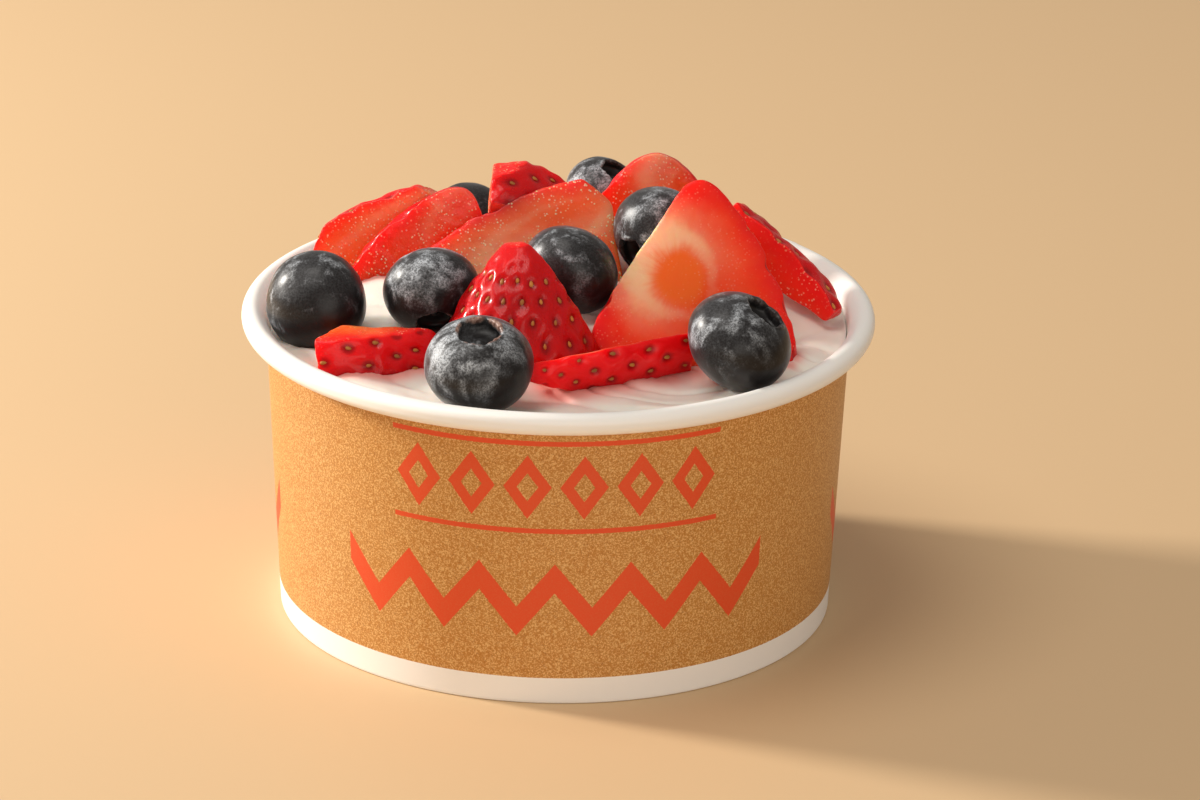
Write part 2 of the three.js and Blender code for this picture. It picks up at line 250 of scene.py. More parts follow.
class Shader:
    """Builds one material's nodes."""

    def __init__(self, name):
        self.material = bpy.data.materials.new(name)
        self.material.use_nodes = True
        self.tree = self.material.node_tree
        self.tree.nodes.clear()
        self.surface = self.node("ShaderNodeBsdfPrincipled")
        self.node("ShaderNodeOutputMaterial", Surface=self.surface.outputs[0])

    def node(self, kind, settings=None, **inputs):
        """A node of that kind, with its settings, and values or links for its sockets; a socket given by
        number is written _3."""
        made = self.tree.nodes.new(kind)
        for name, value in (settings or {}).items():
            setattr(made, name, value)
        for name, value in inputs.items():
            socket = made.inputs[int(name[1:]) if name[0] == "_" else name.replace("_", " ")]
            self.put(socket, value)
        return made

    def put(self, socket, value):
        if isinstance(value, Value):
            self.tree.links.new(value.socket, socket)
        elif isinstance(value, bpy.types.NodeSocket):
            self.tree.links.new(value, socket)
        elif hasattr(value, "__len__") and socket.type == "RGBA" and len(value) == 3:
            socket.default_value = (*value, 1)
        else:
            socket.default_value = value

    def number(self, kind, settings=None, **inputs):
        """The number that such a node gives."""
        return Value(self, self.node(kind, settings, **inputs).outputs[0])

    def maths(self, operation, *values, clamp=False):
        inputs = {"_%d" % i: value for i, value in enumerate(values)}
        return self.number("ShaderNodeMath", {"operation": operation, "use_clamp": clamp}, **inputs)

    def step(self, value, low, high):
        """0 below low, 1 above high, smooth between. low may be the larger, which turns it round."""
        settings = {"interpolation_type": "SMOOTHSTEP"}
        return self.number("ShaderNodeMapRange", settings, _0=value, _1=low, _2=high)

    def mix(self, factor, a, b):
        """Colour a where factor is 0 and b where it is 1."""
        return self.node("ShaderNodeMix", {"data_type": "RGBA"}, _0=factor, _6=a, _7=b).outputs[2]

    def vector(self, operation, a, b):
        return self.node("ShaderNodeVectorMath", {"operation": operation}, _0=a, _1=b).outputs[0]

    def place(self):
        """Object coordinates in millimetres."""
        here = self.node("ShaderNodeTexCoord").outputs["Object"]
        return self.vector("MULTIPLY", here, (1 / MM, 1 / MM, 1 / MM))

    def axes(self, vector):
        parts = self.node("ShaderNodeSeparateXYZ", _0=vector).outputs
        return [Value(self, parts[i]) for i in range(3)]

    def join(self, x, y, z):
        return self.node("ShaderNodeCombineXYZ", _0=x, _1=y, _2=z).outputs[0]

    def attribute(self, name, output="Fac"):
        socket = self.node("ShaderNodeAttribute", {"attribute_name": name}).outputs[output]
        return Value(self, socket) if output == "Fac" else socket

    def noise(self, vector, scale, detail=3.0, roughness=0.5, distortion=0.0):
        """Cloudy noise between 0 and 1 with scale features in a millimetre."""
        return self.number(
            "ShaderNodeTexNoise", Vector=vector, Scale=scale, Detail=detail, Roughness=roughness,
            Distortion=distortion,
        )

    def cells(self, vector, scale):
        """Distance to the nearest of scattered points."""
        return self.number("ShaderNodeTexVoronoi", Vector=vector, Scale=scale)

    def bump(self, height, distance, amount):
        """A normal for relief whose height 1 stands distance millimetres high."""
        made = self.node("ShaderNodeBump", Height=height, Distance=distance * MM, Strength=amount)
        return made.outputs[0]

    def finish(self, **inputs):
        for name, value in inputs.items():
            self.put(self.surface.inputs[name.replace("_", " ")], value)
        return self.material


# ---------- mesh building
def add_object(name, data):
    """An object of that mesh, light or camera, in the scene."""
    made = bpy.data.objects.new(name, data)
    bpy.context.scene.collection.objects.link(made)
    return made


def add_piece(
    name, points, faces, materials, node, picks=None, numbers=None, vectors=None, crease=None
):
    """Makes a mesh object from points in millimetres, hangs it under the root body and hides the model's
    solid that it replaces.

    node is the solid that it replaces, or None. picks is each face's material number. numbers and vectors
    are values kept at each point under a name. crease is the angle in degrees past which an edge is sharp.
    """
    mesh = bpy.data.meshes.new(name)
    mesh.from_pydata((np.asarray(points, float) * MM).tolist(), [], faces)
    for material in materials:
        mesh.materials.append(material)
    if picks is not None:
        mesh.polygons.foreach_set("material_index", np.asarray(picks, np.int32))
    for kind, key, group in (("FLOAT", "value", numbers), ("FLOAT_VECTOR", "vector", vectors)):
        for label, values in (group or {}).items():
            flat = np.asarray(values, np.float32).ravel()
            mesh.attributes.new(label, kind, "POINT").data.foreach_set(key, flat)
    mesh.shade_smooth()
    if crease is not None:
        mesh.set_sharp_from_angle(angle=math.radians(crease))
    mesh.update()
    made = add_object(name, mesh)
    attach(made, "root")
    if node:
        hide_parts(node)


def capped_faces(rows, columns):
    """Faces of a grid of rows by columns points whose columns join up in a ring: quads between the rows, and
    a fan to one point before the first row and one after the last."""
    here = 1 + np.arange(rows * columns).reshape(rows, columns)
    beside = np.roll(here, -1, axis=1)
    quads = np.stack([here[:-1], beside[:-1], beside[1:], here[1:]], axis=-1).reshape(-1, 4)
    first = np.stack([np.zeros_like(here[0]), beside[0], here[0]], axis=1)
    last = np.stack([np.full_like(here[0], 1 + rows * columns), here[-1], beside[-1]], axis=1)
    return quads.tolist() + first.tolist() + last.tolist()


def ball_grid(cells):
    """Directions all round a point and the quads between them: six square grids wrapped onto a ball, evenly
    in angle, that share the points along their edges."""
    a = np.tan(np.linspace(-math.pi / 4, math.pi / 4, cells + 1))
    u, v = np.meshgrid(a, a, indexing="ij")
    one = np.ones_like(u)
    sides = [(one, u, v), (-one, v, u), (v, one, u), (u, -one, v), (u, v, one), (v, u, -one)]
    points = np.concatenate([np.stack(side, axis=-1).reshape(-1, 3) for side in sides])
    i, j = np.meshgrid(np.arange(cells), np.arange(cells), indexing="ij")
    corner = (i * (cells + 1) + j).ravel()
    quad = np.stack([corner, corner + cells + 1, corner + cells + 2, corner + 1], axis=1)
    faces = np.concatenate([quad + side * (cells + 1) ** 2 for side in range(6)])
    _, first, shared = np.unique(np.round(points, 6), axis=0, return_index=True, return_inverse=True)
    directions = points[first]
    return directions / np.linalg.norm(directions, axis=1, keepdims=True), shared.reshape(-1)[faces]


def waves(points, size, seed, count=9):
    """Smooth irregular relief, mostly between -1 and 1: sine waves of about one size in random directions,
    added up."""
    draw = np.random.default_rng(seed)
    heading = draw.normal(size=(count, points.shape[1]))
    heading /= np.linalg.norm(heading, axis=1, keepdims=True)
    heading *= math.tau / size * draw.uniform(0.6, 1.5, (count, 1))
    start = draw.uniform(0, math.tau, count)
    return np.sin(points @ heading.T + start).sum(axis=1) / math.sqrt(count)


def turn_about(axis, degrees):
    return np.array(Matrix.Rotation(math.radians(degrees), 3, axis))


def angles(count):
    """That many equal steps round a circle."""
    return np.linspace(0, math.tau, count, endpoint=False)


def round_axis(radius, angle, height):
    """Points at that radius and height, with the angle counted from the front, -Y, towards +X."""
    x, y, z = np.broadcast_arrays(radius * np.sin(angle), -radius * np.cos(angle), height)
    return np.stack([x, y, z], axis=-1)


def smooth(value, low, high):
    """0 below low, 1 above high, and the cubic 3t^2 - 2t^3 between."""
    t = np.clip((value - low) / (high - low), 0, 1)
    return t * t * (3 - 2 * t)


# ---------- cup
SEAM_ANGLE = math.radians(128)  # where the board overlaps, round to the back
LAP = 7  # how far the overlap reaches round the wall
LAP_FALL = 6  # how far it then takes to sink back
WALL_RADIUS = 46  # of the wall halfway up


def arc(centre, radius, first, last, count):
    angle = np.radians(np.linspace(first, last, count))
    return np.stack([centre[0] + radius * np.cos(angle), centre[1] + radius * np.sin(angle)], axis=1)


def cup_profile(wall):
    """Radius and height round the cup's section, from the axis under the floor, out and up the outside, over
    the rolled lip and down the inside to the axis: straight walls that lean out, joined by arcs. The second
    value is 1 for the rows of the outside wall, 2 for the lip and 0 elsewhere."""
    foot, waist = 44.83, 47.05
    lip = 1.765
    inside_top = waist - wall
    parts = [
        (0, np.linspace((2, 6), (42.6, 6), 12)),
        (0, arc((42.6, 5.4), 0.6, 80, 10, 4)),
        (0, np.linspace((43.42, 4.8), (43.5, 0.35), 6)),
        (0, arc((43.85, 0.35), 0.35, 190, 260, 4)),
        (0, arc((foot - 0.38, 0.38), 0.38, 280, 355, 5)),
        (1, np.linspace((foot + 0.02, 0.8), (waist - 0.02, 46.9), 60)),
        (2, arc((LIP_RADIUS - lip, CUP_HEIGHT - lip), lip, -132, 128, 34)),
        (0, np.array([[47.55, 49.75], [47.12, 49.2], [46.86, 48.5], [46.7, 47.6]])),
        (0, np.linspace((inside_top - 0.04, 46.4), (foot - wall + 0.3, 7.2), 40)),
        (0, arc((foot - wall - 0.5, 7.3), 0.75, 0, -85, 4)),
        (0, np.linspace((42.8, 6.55), (2, 6.55), 12)),
    ]
    kind = np.concatenate([np.full(len(part), number) for number, part in parts])
    return np.concatenate([part for _, part in parts]), kind


def build_cup(settings):
    """The section turned about the axis. Past the seam the outside stands out by most of the board's
    thickness and then sinks back, and the whole is 0.06 mm out of round at the lip."""
    wall = settings.wall / MM
    profile, kind = cup_profile(wall)
    columns = 420
    angle = angles(columns)
    past = (angle - SEAM_ANGLE) % math.tau * WALL_RADIUS
    lap = wall * 0.8 * np.where(past < LAP, 1.0, np.exp((LAP - past) / LAP_FALL)) * (past < 10 * LAP_FALL)
    radius, height = profile[:, 0], profile[:, 1]
    reach = np.where(kind > 0, 1 - 0.6 * smooth(height, 46, 47.2), 0)
    oval = 0.06 * np.cos(2 * angle + 0.6)
    r = radius[:, None] + reach[:, None] * lap + (height / CUP_HEIGHT * (radius > 30))[:, None] * oval
    r = np.minimum(r, LIP_RADIUS)
    ring = round_axis(r, angle, height[:, None])
    points = np.concatenate([[[0, 0, 6.0]], ring.reshape(-1, 3), [[0, 0, 6.55]]])
    picks = np.concatenate([np.repeat(kind[:-1] == 1, columns), np.zeros(2 * columns, bool)])
    materials = [board_material(settings), print_material(settings)]
    faces = capped_faces(len(profile), columns)
    add_piece("paper_cup", points, faces, materials, "cup", picks, crease=50)


def board_material(settings):
    """Bare coated board: white, faintly mottled, with a low sheen."""
    s = Shader("coated board")
    place = s.place()
    cloud = s.noise(place, 0.12, 4)
    colour = s.mix(cloud * 0.35, settings.board, (0.93, 0.91, 0.88))
    relief = s.bump(s.noise(place, 1.4, 4, 0.6), 0.02, 0.5)
    return s.finish(
        Base_Color=colour, Roughness=s.noise(place, 0.5, 2) * 0.12 + 0.34, Normal=relief,
        Subsurface_Weight=0.08, Subsurface_Radius=(1, 0.8, 0.6), Subsurface_Scale=0.001,
        Specular_IOR_Level=0.5,
    )


RULES = (44.6, 29.8)  # heights of the two rules of the motif
DIAMONDS = 37.2  # height of the middle of its diamonds
DIAMOND_STEP = 8.8  # from one diamond to the next
ZIGZAG = 14.2  # height of the zigzag's low points
ZIGZAG_STEP = 12  # from one low point to the next
PRINT_RADIUS = 46.2  # where the motif's lengths round the wall are measured


def motif(s, across, up):
    """Ink mask of the printed motif: two rules with a row of open diamonds between them, over a bold zigzag.
    across is the distance round the wall from the middle of a panel and up the height, in millimetres."""
    reach = abs(across)
    rules = (abs(up - RULES[0]) < 0.42) + (abs(up - RULES[1]) < 0.42)
    cell = s.maths("PINGPONG", across + DIAMOND_STEP / 2, DIAMOND_STEP / 2)
    lozenge = cell * 1.15 + abs(up - DIAMONDS) * 0.8
    top = s.maths("MAXIMUM", rules, (lozenge < 4.3) * (lozenge > 1.9)) * (reach < 3 * DIAMOND_STEP)
    wave = s.maths("PINGPONG", across + ZIGZAG_STEP / 2, ZIGZAG_STEP / 2) * 1.25 + ZIGZAG
    bottom = (abs(up - wave) < 2.5) * (reach < 3 * ZIGZAG_STEP)
    return s.maths("MAXIMUM", top, bottom).clamp()


def print_material(settings):
    """Printed board: a brown ground with pale flecks and dark pores, an orange motif, and a bare white band
    at the foot."""
    s = Shader("printed board")
    place = s.place()
    x, y, z = s.axes(place)
    angle = s.maths("ARCTAN2", x, -y)
    around = s.maths("WRAP", angle, math.pi / 3, -math.pi / 3) * PRINT_RADIUS
    flecks = s.step(s.noise(place, 3.6, 3, 0.7, 0.4), 0.46, 0.6)
    pores = s.step(s.noise(place, 3.0, 2, 0.5), 0.42, 0.3)
    ground = s.mix(flecks * 0.55, settings.kraft, settings.fleck)
    ground = s.mix(pores * 0.4, ground, (0.26, 0.075, 0.012))
    edge = (s.noise(place, 2.2, 2) - 0.5) * 0.22
    ink = motif(s, around + edge, z + edge)
    inked = s.mix(flecks * 0.15, settings.ink, (0.62, 0.12, 0.03))
    colour = s.mix(ink * 0.97, ground, inked)
    bare = z < edge * 0.5 + settings.band / MM
    colour = s.mix(bare, colour, settings.board)
    relief = s.bump(s.noise(place, 2.0, 4, 0.6) + flecks * 0.2, 0.02, 0.6)
    return s.finish(
        Base_Color=colour, Roughness=s.noise(place, 0.8, 2) * 0.12 + 0.42, Normal=relief,
        Specular_IOR_Level=0.55,
    )


# ---------- yogurt
MOUND_MIDDLE = (2.0, 12.0)
MOUND_REACH = {"side": 45.0, "front": 30.0, "back": 40.0}
INNER_RADIUS = 46.35
# How far the juice of a piece stains the yogurt: the two pieces that lie low in it, and the others.
STAIN_REACH = {"strawberry_front_right": 4.5, "strawberry_front_left": 3.0}
STAIN_REACH_OTHERS = 1.4


def yogurt_base(x, y, settings):
    """Height of the mound without its finest folds: level at the wall, a flat-topped mound towards the back
    that falls with the cube of the distance from its middle, and a slow wave that runs round it."""
    r = np.hypot(x, y)
    across = (x - MOUND_MIDDLE[0]) / MOUND_REACH["side"]
    reach = np.where(y < MOUND_MIDDLE[1], MOUND_REACH["front"], MOUND_REACH["back"])
    away = np.minimum(np.hypot(across, (y - MOUND_MIDDLE[1]) / reach), 1)
    inside = np.clip((INNER_RADIUS - r) / 5, 0, 1)
    fold = 0.4 * np.sin(3 * np.arctan2(y, x) + r / 4.2) * np.clip(r / 12, 0, 1) * inside
    return CUP_HEIGHT - settings.edge / MM + settings.crown / MM * (1 - away**3) + fold


def spoon_folds(x, y):
    """The marks of the spoon: broad rounded ridges with soft creases between them, bent by slow waves, and
    lumps between."""
    plan = np.stack([x, y], axis=-1).reshape(-1, 2)
    ridge = np.sin(plan[:, 0] * 0.2 + plan[:, 1] * 0.42 + waves(plan, 32, 5) * 1.8)
    crease = -0.7 * (1 - np.sqrt(ridge**2 + 0.02)) ** 3
    other = np.sin(plan[:, 0] * 0.34 - plan[:, 1] * 0.16 + waves(plan, 28, 6) * 1.5)
    return (crease + 0.32 * other + 0.22 * waves(plan, 12, 7) + 0.03 * waves(plan, 3.5, 8)).reshape(x.shape)


def build_yogurt(settings, fruit):
    """The top is a grid of rings, and five more rings are the side and the underside. Where fruit sinks in,
    the yogurt climbs a little against it, by 0.45 mm that falls off over about 1 mm, and the strawberries
    stain it."""
    rings, columns = 150, 540
    share = np.linspace(0.004, 1, rings)
    angle = angles(columns)
    x = INNER_RADIUS * share[:, None] * np.sin(angle)
    y = -INNER_RADIUS * share[:, None] * np.cos(angle)
    calm = smooth(INNER_RADIUS - np.hypot(x, y), 0, 3.5)
    plan = np.stack([x.ravel(), y.ravel()], axis=1)
    draw = np.random.default_rng(11)
    stain = np.zeros(x.size)
    climb = np.zeros(x.size)
    for name, points in fruit.items():
        level = yogurt_base(points[:, 0], points[:, 1], settings)
        touching = points[np.abs(points[:, 2] - level) < 0.7][:, :2]
        if len(touching) == 0:
            continue
        touching = touching[draw.choice(len(touching), min(len(touching), 220), replace=False)]
        near = (np.abs(plan - touching.mean(axis=0)) < 26).all(axis=1)
        gaps = plan[near][:, None, :] - touching[None, :, :]
        away = np.full(len(plan), 1e9)
        away[near] = np.sqrt((gaps**2).sum(axis=2).min(axis=1))
        climb = np.maximum(climb, np.exp(-away / 1.1))
        if name.startswith("strawberry"):
            stain = np.maximum(stain, np.exp(-away / STAIN_REACH.get(name, STAIN_REACH_OTHERS)))
    z = yogurt_base(x, y, settings) + spoon_folds(x, y) * (0.25 + 0.75 * calm)
    z += 0.45 * calm * climb.reshape(x.shape)
    z[-2:] += [[0.12], [0.35]]  # it clings to the wall
    below = [(45.9, 40), (45.2, 24), (44.4, 7.2), (30, 6.9), (6, 6.9)]  # radius and height of the rings
    side = [round_axis(radius, angle, height) for radius, height in below]
    rows = np.concatenate([np.stack([x, y, z], axis=-1), np.stack(side)])[::-1]
    points = np.concatenate([[[0, 0, 6.9]], rows.reshape(-1, 3), [[0, 0, z[0].mean()]]])
    marks = np.zeros((len(rows), columns))
    marks[len(side) :] = stain.reshape(z.shape)[::-1]
    add_piece(
        "thick_yogurt", points, capped_faces(len(rows), columns), [yogurt_material(settings)], "yogurt",
        numbers={"stain": np.concatenate([[0], marks.ravel(), [0]])},
    )


def yogurt_material(settings):
    """Thick yogurt: cream, paler in random clouds, moist, with pink juice round the strawberries."""
    s = Shader("thick yogurt")
    place = s.place()
    cloud = s.noise(place, 0.07, 3)
    colour = s.mix(cloud * 0.4, settings.cream, (0.9, 0.86, 0.79))
    amount = s.step(s.attribute("stain") * (s.noise(place, 0.1, 2) * 0.6 + 0.7), 0.12, 0.95)
    colour = s.mix(amount * 0.7, colour, settings.juice)
    relief = s.bump(s.noise(place, 0.8, 3, 0.5), 0.05, 0.4)
    return s.finish(
        Base_Color=colour, Roughness=cloud * 0.12 + 0.3, Normal=relief, Subsurface_Weight=0.35,
        Subsurface_Radius=(1, 0.75, 0.55), Subsurface_Scale=0.0025, Coat_Weight=0.12, Coat_Roughness=0.2,
    )


# ---------- blueberries
BERRY_SQUASH = 0.85
CROWN_LOBES = 5
SHOULDER = 150  # degrees from the foot to the shoulder that the crown stands on


def blueberry_points(radius, seed):
    """A squashed ball turned about +Z, made of rings from the foot up. Past the shoulder the rings go over
    the low edge of the crown, which its lobes pull inwards and lift, and down the crater to its floor."""
    columns = 160
    angle = angles(columns)
    draw = np.random.default_rng(seed)
    turn, lean, wave = draw.uniform(0, math.tau, 3)
    lobe = np.abs(np.cos(CROWN_LOBES / 2 * (angle + turn) + 0.25 * np.sin(angle * 2 + wave))) ** 0.8
    lobe = lobe * (0.75 + 0.3 * np.sin(angle + lean)) + 0.1 * np.sin(17 * angle + wave) * lobe
    rest = np.radians(np.linspace(3, SHOULDER, 64))
    level = np.ones(columns)
    rows = [radius * np.stack([math.sin(a) * level, -BERRY_SQUASH * math.cos(a) * level]) for a in rest]
    shoulder = -radius * BERRY_SQUASH * math.cos(rest[-1])
    # The rings of the crown: radius, height above the shoulder, how much each of them follows the lobes, how
    # dry and how deep (the depth sets the painted shade in the crater), all but the last two as shares of
    # the berry's radius.
    crown = [
        (0.48, 0.006, 0, 0, 0.05, 0),
        (0.462, 0.012, 0, 0.008, 0.15, 0),
        (0.45, 0.014, -0.004, 0.024, 0.45, 0),
        (0.438, 0.014, -0.012, 0.042, 0.85, 0),
        (0.428, 0.008, -0.028, 0.056, 1, 0),
        (0.42, -0.004, -0.046, 0.058, 1, 0),
        (0.412, -0.022, -0.06, 0.04, 1, 0.25),
        (0.408, -0.05, -0.056, 0, 0.7, 0.6),
        (0.402, -0.085, -0.03, -0.02, 0.35, 0.9),
        (0.388, -0.13, 0, 0, 0.15, 1),
        (0.35, -0.185, 0, 0, 0.1, 1),
        (0.28, -0.22, 0, 0, 0.1, 1),
        (0.2, -0.232, 0, 0, 0.1, 1),
        (0.12, -0.226, 0, 0, 0.1, 0.9),
        (0.07, -0.21, 0, 0, 0.2, 0.7),
        (0.03, -0.18, 0, 0, 0.3, 0.5),
    ]
    for out, up, out_lobe, up_lobe, _, _ in crown:
        rows.append(np.stack([radius * (out + out_lobe * lobe), shoulder + radius * (up + up_lobe * lobe)]))
    grid = np.stack(rows)
    ring = round_axis(grid[:, 0], angle, grid[:, 1])
    points = np.concatenate(
        [[[0, 0, -radius * BERRY_SQUASH]], ring.reshape(-1, 3), [[0, 0, shoulder - radius * 0.175]]]
    )
    lumps = 1 + 0.01 * waves(points / radius, 1.4, seed + 1) + 0.004 * waves(points / radius, 0.5, seed + 2)
    amount = np.zeros((len(rows), 2))
    amount[len(rest) :] = [entry[4:] for entry in crown]
    dry = np.concatenate([[0], (amount[:, :1] * (0.3 + 0.7 * lobe)).ravel(), [0.3]])
    deep = np.concatenate([[0], np.repeat(amount[:, 1], columns), [0.5]])
    return points * lumps[:, None], capped_faces(len(rows), columns), dry, deep


def build_blueberries(settings):
    made = {}
    for number, (name, (radius, centre, crown, dust, brown)) in enumerate(BLUEBERRIES.items()):
        points, faces, dry, deep = blueberry_points(radius, 100 + 7 * number)
        up = np.array(crown, float) / np.linalg.norm(crown)
        side = np.cross(up, (0.3, 0.2, 0.93) if abs(up[2]) < 0.9 else (1, 0.1, 0))
        side /= np.linalg.norm(side)
        placed = points @ np.stack([side, np.cross(up, side), up]) + np.array(centre)
        material = blueberry_material(settings, name, radius, centre, dust, brown)
        numbers = {"dry": dry, "deep": deep}
        add_piece(name + "_skin", placed, faces, [material], name, numbers=numbers)
        made[name] = placed
    return made


def blueberry_material(settings, name, radius, centre, dust, brown):
    """Dark skin under a waxy bloom that is rubbed off in patches and speckled, with a dry brown crown. The
    bloom
    is weighted by painted sheen: strong towards the top and left of each berry, where the light falls, and
    all but gone underneath as painted shade. Painted shade darkens the crater with its depth."""
    s = Shader(name + " skin")
    place = s.place()
    clouds = s.noise(place, 0.17, 4, 0.6, 0.8)
    smears = s.noise(s.vector("MULTIPLY", place, (1.0, 1.6, 0.6)), 0.42, 4, 0.65)
    specks = s.noise(place, 3.2, 3, 0.7)
    x, _, z = s.axes(place)
    # Painted sheen and shade: the bloom is brightened towards the top and left of each berry, where the
    # light falls, and nearly taken away underneath.
    toward_light = ((z - centre[2]) * 0.8 - (x - centre[0]) * 0.45) / radius
    painted_sheen_side = s.step(toward_light + (clouds - 0.5) * 1.3, -0.4, 0.85)
    cover = s.step(clouds * 0.55 + smears * 0.45, 0.575 - 0.21 * dust, 0.73 - 0.18 * dust)
    grain = s.step(specks, 0.4, 0.6)
    bloom_and_painted_sheen = ((cover * 0.9 + 0.1) * (grain * 0.7 + 0.3) * (painted_sheen_side * 1.25 + 0.03) * (0.45 + 0.6 * dust)).clamp()
    colour = s.mix(bloom_and_painted_sheen, settings.skin, settings.bloom_and_painted_sheen)
    dried = s.step(s.attribute("dry") + (s.noise(place, 1.1, 3) - 0.5) * 0.5, 0.4, 0.8)
    crown = s.mix(s.step(s.noise(place, 1.6, 2), 0.4, 0.65), settings.crown, (0.42, 0.27, 0.22))
    colour = s.mix(dried * brown, colour, crown)
    # Painted shade: the crater darkens to near black with its depth.
    colour = s.mix(s.attribute("deep") * 0.85, colour, (0.012, 0.01, 0.01))
    relief = s.bump(s.noise(place, 0.9, 4, 0.6) * 0.7 + specks * 0.3, 0.07, 0.5)
    roughness = (bloom_and_painted_sheen * 0.2 + 0.24 + s.noise(place, 0.6, 3) * 0.16).clamp()
    return s.finish(
        Base_Color=colour, Roughness=roughness, Normal=relief, Specular_IOR_Level=0.28,
        Sheen_Weight=0.08, Sheen_Roughness=0.35, Sheen_Tint=(0.85, 0.9, 1.0),
    )


# ---------- strawberries
PIT_AROUND = 4.7  # between seeds in one row, round the berry where it is widest
PIT_ALONG = 2.9  # between the rows, on average
CORNER = 0.45  # how far from an edge its rounding starts
GRID = 92  # squares along each side of a piece's ball grid


def berry_profile(t, taper):
    """Radius from the stalk end, t 0, to the tip, t 1, as a share of the greatest: it swells fast, then
    falls to a round tip, or in a straighter line where taper is 1."""
    t = np.clip(t, 0, 1)
    fall = (1 - t ** (1.4 - 0.4 * taper)) ** (0.6 + 0.02 * taper)
    return (1.15 + 0.12 * taper) * fall * (1 - (1 - t) ** 7) ** 0.42


class Strawberry:
    """One berry and the piece cut from it, in its own frame with the tip along +X and the side that shows
    along +Z."""

    def __init__(self, name, seed):
        self.length, self.radius, self.taper, self.at, spin, lean, turn, keep = STRAWBERRIES[name]
        self.planes = [(np.array(n, float) / np.linalg.norm(n), d) for n, d in keep]
        self.basis = turn_about("Z", turn) @ turn_about("X", 90 - lean) @ turn_about("Z", spin)
        self.seed = seed
        self.rows = round(self.length / PIT_ALONG)
        self.columns = round(math.tau * self.radius / PIT_AROUND)
        draw = np.random.default_rng(seed)
        self.shift_t = draw.uniform(-0.3, 0.3, (self.rows, self.columns)) / self.length
        self.shift_a = draw.uniform(-0.35, 0.35, (self.rows, self.columns)) / self.radius

    def row_t(self, row):
        return 1 - (1 - row / self.rows) ** 1.35

    def pit(self, t, angle, radius):
        """How deep each point lies in a pit, from 0 to 1: a bell round each seed, on rows that are staggered
        by half a step, its width a share of the step between seeds. It fades where the berry is thin."""
        deep = np.zeros_like(t)
        width = np.clip(0.19 * np.maximum(radius, 1.0) * math.tau / self.columns, 0.35, 0.95)
        for row in range(1, self.rows):
            turns = angle / math.tau * self.columns - 0.5 * (row % 2)
            column = np.round(turns).astype(int) % self.columns
            away = (turns - np.round(turns)) * math.tau / self.columns - self.shift_a[row, column]
            along = (t - self.row_t(row) - self.shift_t[row, column]) * self.length
            apart = (away * radius / width) ** 2 + (along / (1.25 * width)) ** 2
            deep = np.maximum(deep, np.exp(-0.5 * apart))
        return deep * smooth(radius / self.radius, 0.25, 0.55)

    def skin_radius(self, t, angle):
        """The berry's radius there: the profile, uneven in slow lumps, swollen between the pits."""
        plain = self.radius * berry_profile(t, self.taper)
        deep = self.pit(t, angle, plain)
        where = np.stack([t * self.length, plain * np.cos(angle), plain * np.sin(angle)], axis=1)
        lumps = 0.26 * waves(where, 9, self.seed) + 0.12 * waves(where, 3.5, self.seed + 1)
        return plain + (0.18 - 0.55 * deep + lumps) * np.clip(plain / 3, 0, 1)

    def field(self, p, detail=True):
        """Above 0 outside the piece and below inside: the largest of the distance out of the skin and the
        distances past each cut, with the corner between them rounded by a small radius."""
        x, y, z = p.T
        t = np.clip(x / self.length + 0.5, 0, 1)
        off = x - (t - 0.5) * self.length
        out = np.hypot(y, z)
        skin = self.radius * berry_profile(t, self.taper)
        if detail:
            skin = self.skin_radius(t, np.arctan2(y, z))
        bare = np.hypot(out, off) - skin
        total = bare
        cuts = []
        for number, (normal, distance) in enumerate(self.planes):
            cut = p @ normal - distance
            if detail:
                cut += 0.1 * waves(p, 7, self.seed + 20 + number)
                cut += 0.04 * waves(p, 2.2, self.seed + 30 + number)
            cuts.append(cut)
            blend = np.clip(0.5 + 0.5 * (cut - total) / CORNER, 0, 1)
            total = total * (1 - blend) + cut * blend + CORNER * blend * (1 - blend)
        return total, np.max(cuts, axis=0) - bare, t, out / np.maximum(skin, 0.1)

    def crossing(self, middle, rays, low, high, steps, detail):
        """How far along each ray the field is 0, found by halving the interval from low to high."""
        for _ in range(steps):
            half = (low + high) / 2
            outside = self.field(middle + rays * half[:, None], detail)[0] > 0
            high = np.where(outside, half, high)
            low = np.where(outside, low, half)
        return (low + high) / 2

    def mesh(self, cells):
        """Every direction of a ball grid, stretched to the piece's proportions, followed out from the
        piece's middle to its surface: first that of the smooth berry, then, within 1.6 mm of it, the real
        one."""
        draw = np.random.default_rng(self.seed + 3)
        probe = draw.uniform(-1, 1, (60000, 3)) * np.array([self.length / 2, self.radius, self.radius])
        inside = probe[self.field(probe, detail=False)[0] < -0.3]
        middle = inside.mean(axis=0)
        directions, faces = ball_grid(cells)
        rays = directions * inside.std(axis=0) * 1.9
        far = np.full(len(rays), 3.6)
        plain = self.crossing(middle, rays, np.zeros(len(rays)), far, 13, False)
        slack = 1.6 / np.linalg.norm(rays, axis=1)
        reach = self.crossing(middle, rays, np.maximum(plain - slack, 0), plain + slack, 10, True)
        points = middle + rays * reach[:, None]
        _, past, t, share = self.field(points)
        _, y, z = points.T
        deep = self.pit(t, np.arctan2(y, z), self.radius * berry_profile(t, self.taper))
        return points, faces, dict(past=past, t=t, share=share, pit=deep)

    def place(self, points):
        return points @ self.basis.T + np.array(self.at)

